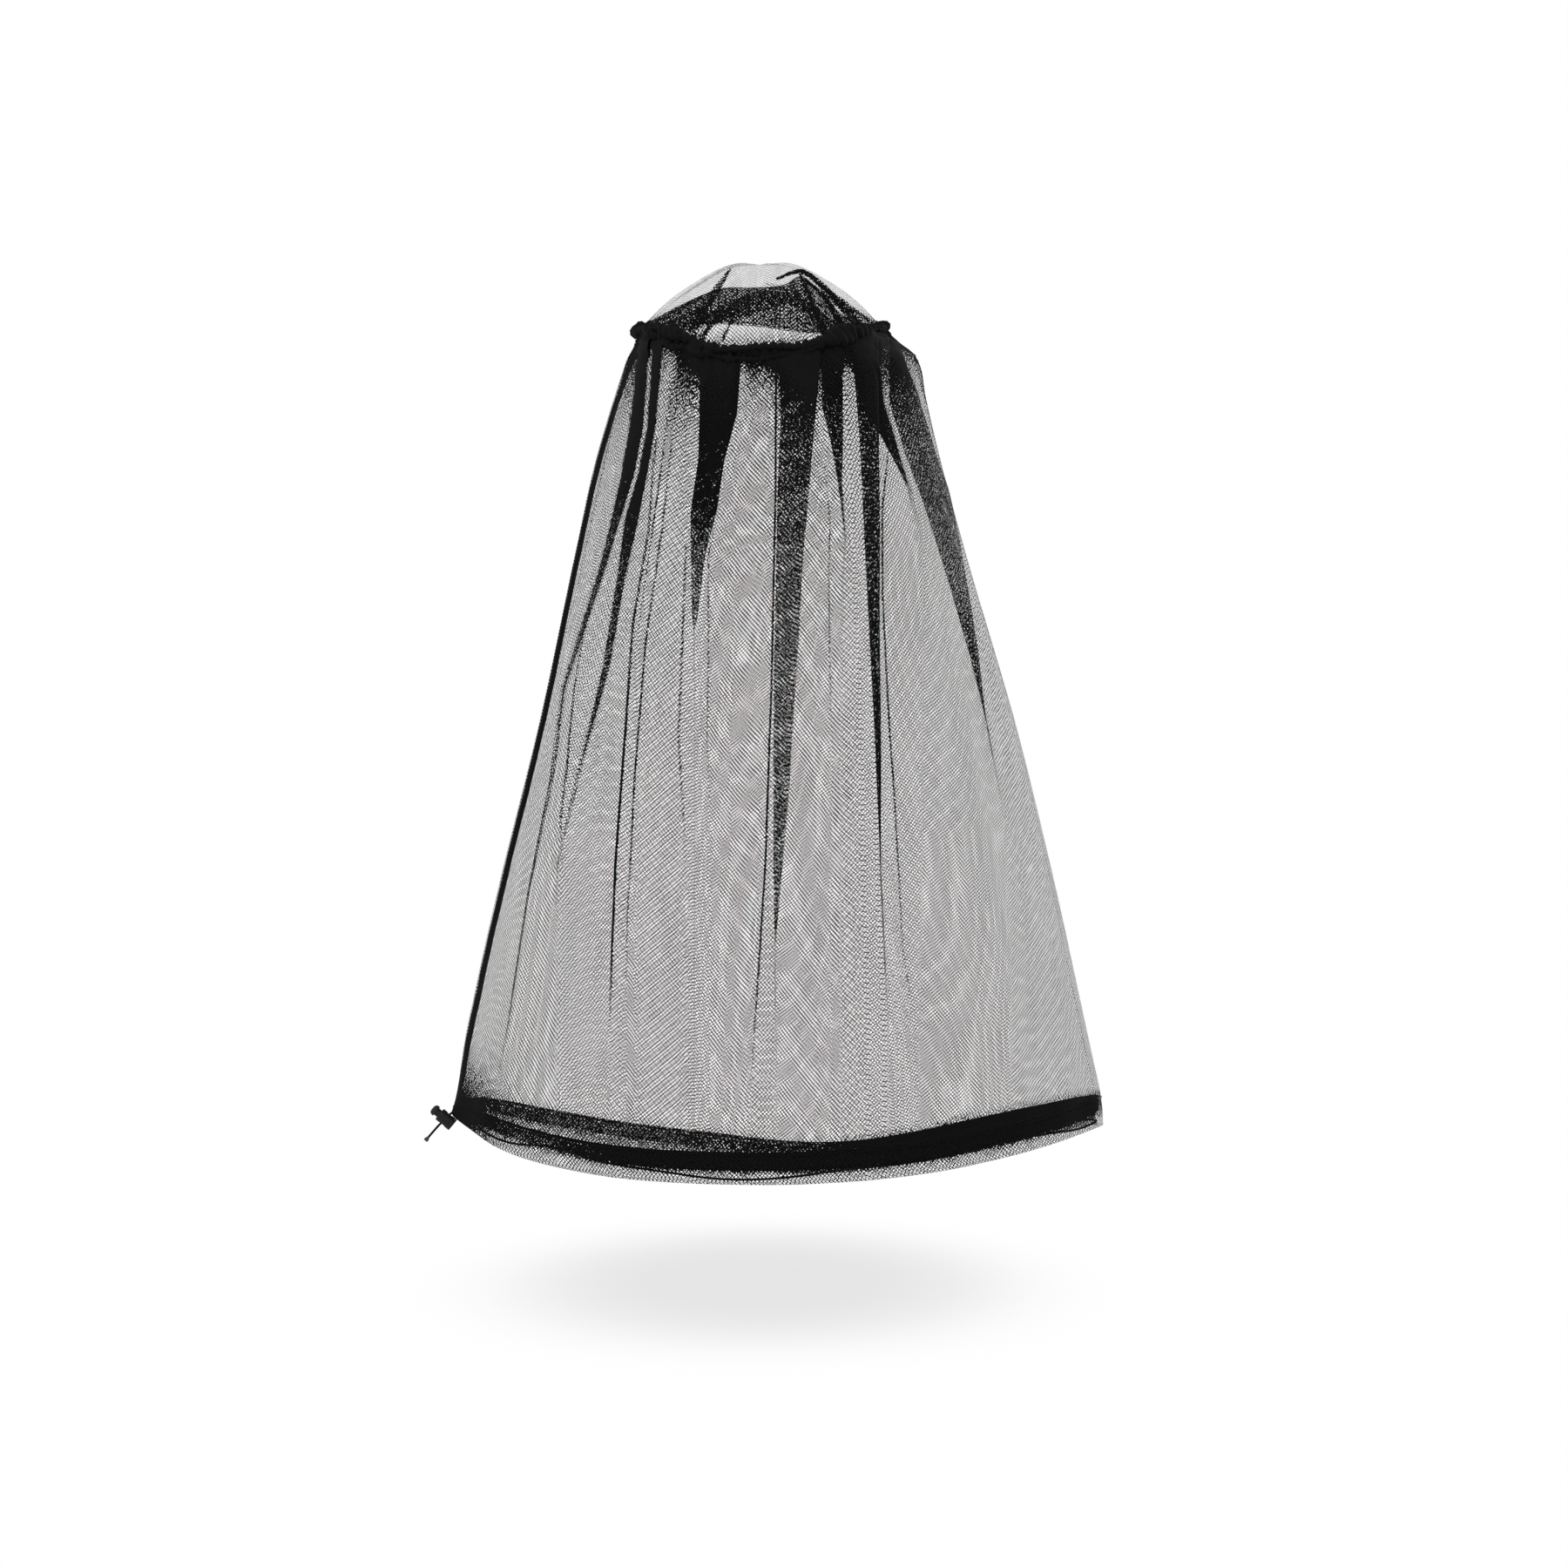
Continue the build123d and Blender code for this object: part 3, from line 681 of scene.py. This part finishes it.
def tube_round(name, centre, radii, material, sides, gather=None, close=True):
    """Tube along points, closed or open; radii is one row of section radii for each point."""
    ahead = np.gradient(centre, axis=0)
    if np.linalg.norm(centre[0] - centre[-1]) < 1e-6:
        ahead[0] = ahead[-1] = centre[1] - centre[-2]
    ahead /= np.linalg.norm(ahead, axis=1)[:, None]
    side = np.cross(ahead, np.array([0, 0, 1.0]))
    side /= np.linalg.norm(side, axis=1)[:, None]
    up = np.cross(side, ahead)
    turn = np.linspace(0, 2 * math.pi, sides + 1)
    points = (centre[:, None, :] + radii[..., None] * (side[:, None, :] * np.cos(turn)[None, :, None]
              + up[:, None, :] * np.sin(turn)[None, :, None]))
    tight = np.ones(points.shape[:2]) if gather is None else gather
    return grid_piece(name, points, tight, material, close=close)


# Bundles of cloth on the ring: angle, how far each stands out in mm, and its spread.
RING_KNOTS = (
    (-math.pi, 3.4, 0.10), (math.pi, 3.4, 0.10), (-2.72, 1.6, 0.05), (-2.36, 2.6, 0.09),
    (-1.98, 1.2, 0.06), (-1.10, 1.6, 0.10), (-0.86, 5.2, 0.15), (-0.62, 3.6, 0.10),
    (0.0, 2.2, 0.08), (0.9, 2.4, 0.09), (2.2, 2.6, 0.10), (1.57, 1.2, 0.2),
)


def ring_section(angle, sides, plain):
    """Section radii in mm of gathered cloth round the ring: ruffles, and a bundle here and there."""
    turn = np.linspace(0, 2 * math.pi, sides + 1)[None, :]
    around = angle[:, None]
    ruffle = (0.7 * np.sin(90 * around + 2.0 * np.sin(turn))
              + 0.6 * np.sin(57 * around + 1.5 * np.cos(turn))
              + 0.5 * np.sin(31 * around + 0.5)
              + 0.4 * np.sin(17 * around + 3.0 * np.sin(turn)))
    knots = np.zeros_like(angle)
    for place, size, spread in RING_KNOTS:
        knots += size * np.exp(-((angle - place) / spread) ** 2)
    lobes = 1 + 0.22 * np.sin(3 * turn + 11 * around)
    return plain + ruffle + knots[:, None] * lobes


def make_ring():
    """Ruched channel of net drawn up tight, thinner at the front, with its elastic inside it."""
    columns, sides = 900, 14
    angle, centre = ring_points(columns)
    slim = 1.3 * np.exp(-((angle + 1.65) / 0.35) ** 2)[:, None]
    radii = np.clip(ring_section(angle, sides, 3.2) - slim, 2.15, 9.5) * MM
    radii[-1] = radii[0]
    piece = tube_round("crown_ruching", centre, radii, NET, sides,
                       gather=np.full(radii.shape, 1.35))
    on_veil(piece, "crown_channel")
    elastic = tube_round("elastic_loop", centre, np.full((columns, 13), 1.9 * MM), ELASTIC,
                         12)
    on_veil(elastic, "crown_elastic")
    joined = np.concatenate([centre[-16:-1], centre[:16]])
    wrap = tube_round("elastic_join", joined, np.full((len(joined), 13), 2.2 * MM), THREAD,
                      12, close=False)
    on_veil(wrap, "elastic_join_stitching")


def make_roll(name, start, end, drop, swing, plain):
    """Rolled edge of net that hangs from the ring between two angles; drop, swing, plain in mm."""
    columns, sides = 220, 12
    angle = np.linspace(start, end, columns)
    t = np.linspace(0, 1, columns)
    sag = np.sin(math.pi * t) ** 0.7 * drop + swing * np.sin(5 * math.pi * t) * np.sin(math.pi * t)
    reach = RING_RADIUS + 1.5 * MM
    height = ring_height(angle) - sag * MM
    centre = np.stack([reach * np.cos(angle), reach * np.sin(angle), height], axis=-1)
    radii = np.clip(ring_section(angle * 1.3 + 0.4, sides, plain), 1.2, 4.0) * MM
    piece = tube_round(name, centre, radii, NET, sides, gather=np.full(radii.shape, 1.3),
                       close=False)
    on_veil(piece)


def make_tuft(name, angle, height, width, lean):
    """Upright loop of net that stands out of the ring."""
    columns, rows = 9, 22
    t = np.linspace(0, 1, rows)[:, None]
    column = np.arange(columns)[None, :]
    rise = np.sin(math.pi * t).clip(0) ** 0.8 * height
    shift = (t - 0.5) * width + lean * rise
    x = RING_RADIUS * math.cos(angle) - math.sin(angle) * shift + 0 * column
    y = RING_RADIUS * math.sin(angle) + math.cos(angle) * shift + (column - 4) * 0.7 * MM
    z = ring_height(np.array(angle)) + rise + 0.5 * MM * np.sin(column)
    on_veil(grid_piece(name, np.stack([x, y, z], axis=-1), np.ones((rows, columns)), NET))


# ---- seam and stitches ---------------------------------------------------------------------

def seam_angle(share):
    """Angle of the side seam on the net's oval."""
    return -math.pi + np.arcsin(-SEAM_Y / oval(share)[2])


def make_seam():
    """Bound seam: a folded tape, thick and slightly wavy, down the inside of the net.

    profile is its section: how far along the net and how far out of it, in mm.
    """
    rows = 220
    share = np.linspace(0.004, 0.972, rows)
    profile = [(-2.4, -0.4), (-2.3, 0.5), (0.0, 0.8), (2.3, 0.5), (2.4, -0.4), (2.0, -2.4),
               (0, -3.2), (-2.0, -2.4), (-2.4, -0.4)]
    points = []
    for number, part in enumerate(share):
        depth = oval(part)[2]
        wave = 0.35 * math.sin(number * 0.55) + 0.3 * math.sin(number * 0.21)
        points.append([drape(seam_angle(part) + (across + wave) * MM / depth, part, out * MM)
                       for across, out in profile])
    points = bunch(np.array(points))[0]
    piece = grid_piece("seam_tape", points, np.ones(points.shape[:2]), TAPE)
    on_veil(piece, "side_seam_binding")


def stitch_tree():
    """Geometry Nodes: capsules of thread, end to end along the input curve."""
    tree = bpy.data.node_groups.new("stitch row", "GeometryNodeTree")
    for name, kind in (("Geometry", "NodeSocketGeometry"), ("Pitch", "NodeSocketFloat"),
                       ("Length", "NodeSocketFloat"), ("Radius", "NodeSocketFloat"),
                       ("Thread", "NodeSocketMaterial")):
        tree.interface.new_socket(name, in_out="INPUT", socket_type=kind)
    tree.interface.new_socket("Geometry", in_out="OUTPUT", socket_type="NodeSocketGeometry")
    kinds = {"in": "NodeGroupInput", "out": "NodeGroupOutput",
             "points": "GeometryNodeCurveToPoints", "ball": "GeometryNodeMeshUVSphere",
             "size": "GeometryNodeTransform", "place": "GeometryNodeInstanceOnPoints",
             "real": "GeometryNodeRealizeInstances", "paint": "GeometryNodeSetMaterial",
             "scale": "ShaderNodeCombineXYZ"}
    made = {key: tree.nodes.new(kind) for key, kind in kinds.items()}
    made["points"].mode = "LENGTH"
    made["ball"].inputs["Segments"].default_value = 6
    made["ball"].inputs["Rings"].default_value = 5
    made["ball"].inputs["Radius"].default_value = 1.0
    for source, output, target, wanted in (
            ("in", "Geometry", "points", "Curve"), ("in", "Pitch", "points", "Length"),
            ("in", "Radius", "scale", "X"), ("in", "Radius", "scale", "Y"),
            ("in", "Length", "scale", "Z"), ("ball", "Mesh", "size", "Geometry"),
            ("scale", "Vector", "size", "Scale"), ("points", "Points", "place", "Points"),
            ("points", "Rotation", "place", "Rotation"), ("size", "Geometry", "place", "Instance"),
            ("place", "Instances", "real", "Geometry"), ("real", "Geometry", "paint", "Geometry"),
            ("in", "Thread", "paint", "Material"), ("paint", "Geometry", "out", "Geometry")):
        tree.links.new(made[source].outputs[output], made[target].inputs[wanted])
    return tree


STITCHES = stitch_tree()


def stitch_row(name, points, pitch, length, radius, node):
    """Row of stitches along the points, in place of a CAD node."""
    curve = bpy.data.curves.new(name + " line", "CURVE")
    curve.dimensions = "3D"
    spline = curve.splines.new("POLY")
    spline.points.add(len(points) - 1)
    for spot, place in zip(spline.points, points):
        spot.co = (*place, 1)
    line = add_object(name + " line", curve)
    modifier = line.modifiers.new("stitches", "NODES")
    modifier.node_group = STITCHES
    sockets = {item.name: item.identifier for item in STITCHES.interface.items_tree
               if item.in_out == "INPUT"}
    modifier[sockets["Pitch"]] = pitch
    modifier[sockets["Length"]] = length / 2
    modifier[sockets["Radius"]] = radius
    modifier[sockets["Thread"]] = THREAD
    shape = bpy.context.evaluated_depsgraph_get()
    mesh = bpy.data.meshes.new_from_object(line.evaluated_get(shape))
    bpy.data.objects.remove(line)
    piece = add_object(name, mesh)
    on_veil(piece, node)


def make_stitches():
    turn = np.linspace(-math.pi, math.pi, 500)

    def round_hem(outward, height):
        share = np.full_like(turn, 1 - height / SIDE_DROP)
        return bunch(drape(turn, share, outward + ripple(turn, share)))[0]

    stitch_row("hem_stitches", round_hem(0.5 * MM, 21.8 * MM), 2.8 * MM, 2.5 * MM, 0.32 * MM,
               "hem_needle_thread")
    stitch_row("hem_inner_stitches", round_hem(-5.0 * MM, 19.5 * MM), 2.8 * MM, 2.5 * MM, 0.32 * MM,
               "hem_bobbin_thread")
    share = np.linspace(0.01, 0.965, 300)
    angle = seam_angle(share)
    stitch_row("seam_stitches", bunch(drape(angle, share, 1.1 * MM))[0], 2.6 * MM, 2.2 * MM,
               0.32 * MM, "side_seam_thread")
    _, ring = ring_points(500)
    ring[:, :2] *= 1.043
    stitch_row("ring_stitches", ring, 3.0 * MM, 2.7 * MM, 0.45 * MM, "crown_thread")


# ---- drawcord ------------------------------------------------------------------------------

# The cord's places in the channel: angle round the hem in degrees, height over the fold in mm.
FRONT_CORD = [
    (193.5, 6), (202, 0.5), (213, 0), (224, 8), (235, 3), (247, 4), (259, 1.5), (270, 4),
    (282, 10), (294, 9.5), (305, 10.5), (316, 12), (327, 9), (339, 4), (351, 4),
]
BACK_CORD = [
    (3, 3.5), (15, 5), (27, 7), (39, 5.5), (50, 4), (62, 3), (74, 4), (86, 6), (98, 7), (110, 5),
    (121, 3.5), (133, 3), (144, 5), (155, 8), (166, 11), (177, 12.5),
]
CORD_DIAMETER = 1.8 * MM
CORD_PITCH = 2.0 * MM
CORD_INSET = 2.2 * MM
EXIT_RISE = 14 * MM                 # height over the fold at which both ends leave the channel
EXIT_DEPTH = 3.3 * MM               # how far inside the net they start
FIRST_RUN = 13 * MM                 # level run out of the channel
END_RUN = 29.2 * MM                 # straight end, through the cord lock
CORD_FALL = math.radians(50)        # slope of the straight ends


def cord_route():
    """The drawcord's corners, from the front strand's end to the back strand's end."""
    fall = Vector((-math.cos(CORD_FALL), 0, -math.sin(CORD_FALL)))
    exit_x = HEM_MIDDLE - HEM_HALF_WIDTH * math.sqrt(1 - (SEAM_Y / HEM_HALF_DEPTH) ** 2)

    def fold(x, y):
        return (-SIDE_DROP - HEM_SAG + HEM_ARC - math.sqrt(HEM_ARC ** 2 - (x - HEM_MIDDLE) ** 2)
                + HEM_SLOPE * y)

    exit_z = fold(exit_x, SEAM_Y) + EXIT_RISE
    ends = []
    for side in (-1, 1):
        inner = Vector((exit_x + EXIT_DEPTH, SEAM_Y + side * CORD_PITCH / 2, exit_z))
        outer = inner - Vector((FIRST_RUN, 0, 0))
        ends.append((inner, outer, outer + fall * END_RUN))
    held = []
    for angle, lift in FRONT_CORD + BACK_CORD:
        x = HEM_MIDDLE + (HEM_HALF_WIDTH - CORD_INSET) * math.cos(math.radians(angle))
        y = (HEM_HALF_DEPTH - CORD_INSET) * math.sin(math.radians(angle))
        held.append(Vector((x, y, fold(x, y) + lift * MM)))
    front, back = ends
    return [front[2], front[1], front[0], *held, back[0], back[1], back[2]]


def make_cord():
    points = cord_route()
    curve = bpy.data.curves.new("hem_drawcord", "CURVE")
    curve.dimensions = "3D"
    curve.bevel_depth = CORD_DIAMETER / 2
    curve.bevel_resolution = 3
    curve.resolution_u = 10
    spline = curve.splines.new("NURBS")
    spline.points.add(len(points) - 1)
    for spot, place in zip(spline.points, points):
        spot.co = (*place, 1)
    spline.order_u = 3
    spline.use_endpoint_u = True
    curve.materials.append(CORD)
    piece = add_object("hem_drawcord", curve)
    return on_veil(piece, "drawcord")


# ---- cord lock and other hard pieces -------------------------------------------------------

def make_spring():
    """The lock's coil spring, between the barrel's floor and the plunger."""
    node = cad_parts["cord_lock_spring"]
    mesh = node.data.copy()
    mesh.transform(node.matrix_world)
    merge_doubles(mesh)
    mesh.materials.clear()
    mesh.materials.append(STEEL)
    piece = add_object("lock_spring", mesh)
    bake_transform(piece)
    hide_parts("cord_lock_spring")


def finish_nodes():
    finishes = {"cord_lock_barrel": LOCK, "cord_lock_plunger": PLUNGER, "cord_tip_front": TIP,
                "cord_tip_back": TIP, "exit_bartack_front": THREAD, "exit_bartack_back": THREAD}
    for name, material in finishes.items():
        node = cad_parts[name]
        node.data.materials.clear()
        node.data.materials.append(material)


# ---- stage ---------------------------------------------------------------------------------

def make_stage():
    """White floor with a soft shadow under the veil, a white world and two area lights."""
    floor_height, size = -0.733, 12.0
    shadow_width, shadow_depth, shadow_dark = 0.185, 0.88, 0.215
    tree = Tree("white floor")
    x, y, _ = tree.parts(tree.node("ShaderNodeTexCoord", output=3))
    x, y = x / shadow_width, y / shadow_depth
    away = x * x + y * y
    spread = tree.maths("EXPONENT", away * away * -0.9)
    shade = 1.0 - spread * shadow_dark
    colour = tree.node("ShaderNodeCombineColor", Red=shade, Green=shade, Blue=shade)
    shader = tree.node("ShaderNodeEmission", Color=colour, Strength=1.0)
    material = tree.surface(shader)
    mesh = bpy.data.meshes.new("floor")
    mesh.from_pydata([(-size, -size, floor_height), (size, -size, floor_height),
                      (size, size, floor_height), (-size, size, floor_height)], [], [(0, 1, 2, 3)])
    mesh.materials.append(material)
    add_object("floor", mesh)

    world = bpy.data.worlds.new("white room")
    world.use_nodes = True
    world.node_tree.nodes["Background"].inputs["Color"].default_value = (1, 1, 1, 1)
    world.node_tree.nodes["Background"].inputs["Strength"].default_value = 1.0
    bpy.context.scene.world = world
    for name, place, power, width in (("key", (-0.9, -1.6, 0.9), 18, 0.9),
                                      ("rim", (1.4, 0.9, 0.6), 10, 0.8)):
        light = bpy.data.lights.new(name, "AREA")
        light.energy = power
        light.size = width
        lamp = add_object(name, light)
        lamp.location = place
        aim = Vector((0, 0, -0.3)) - Vector(place)
        lamp.rotation_euler = aim.to_track_quat("-Z", "Y").to_euler()


def make_camera():
    """Long lens from the front, level with the middle of the veil."""
    distance = 8.0
    view_width = 1.208
    camera = bpy.data.cameras.new("camera")
    camera.sensor_width = 36
    camera.lens = camera.sensor_width * distance / view_width
    camera.clip_end = 50
    eye = add_object("camera", camera)
    eye.location = (0.018, -distance, -0.350)
    eye.rotation_euler = (math.pi / 2, 0, 0)
    bpy.context.scene.camera = eye
    bpy.context.scene.view_settings.view_transform = "Standard"
    bpy.context.scene.cycles.transparent_max_bounces = 64


make_camera()
make_stage()
cord = make_cord()
skirt = make_skirt()
hem = make_hem()
crown = make_crown()
fold_high = make_crown_fold("crown_fold_high", *HIGH_FOLD, depth=-14, swell=16, gather=0.60)
fold_low = make_crown_fold("crown_fold_low", *LOW_FOLD, depth=12, swell=12, gather=0.54)
strands = [make_strand(f"crown_{name}", *rest) for name, *rest in CROWN_STRANDS]
make_ring()
make_roll("ring_roll_left", -2.75, -1.95, 9.0, 2.0, 2.4)
make_roll("ring_roll_front", -2.15, -1.05, 8.0, 1.0, 1.4)
make_tuft("ring_tuft", -0.70, 19 * MM, 9 * MM, 0.05)
make_tuft("ring_loop_right", -0.30, 7 * MM, 12 * MM, 0.1)
make_tuft("ring_loop_left", -2.86, 6 * MM, 10 * MM, 0.1)
make_seam()
make_stitches()
make_spring()
finish_nodes()
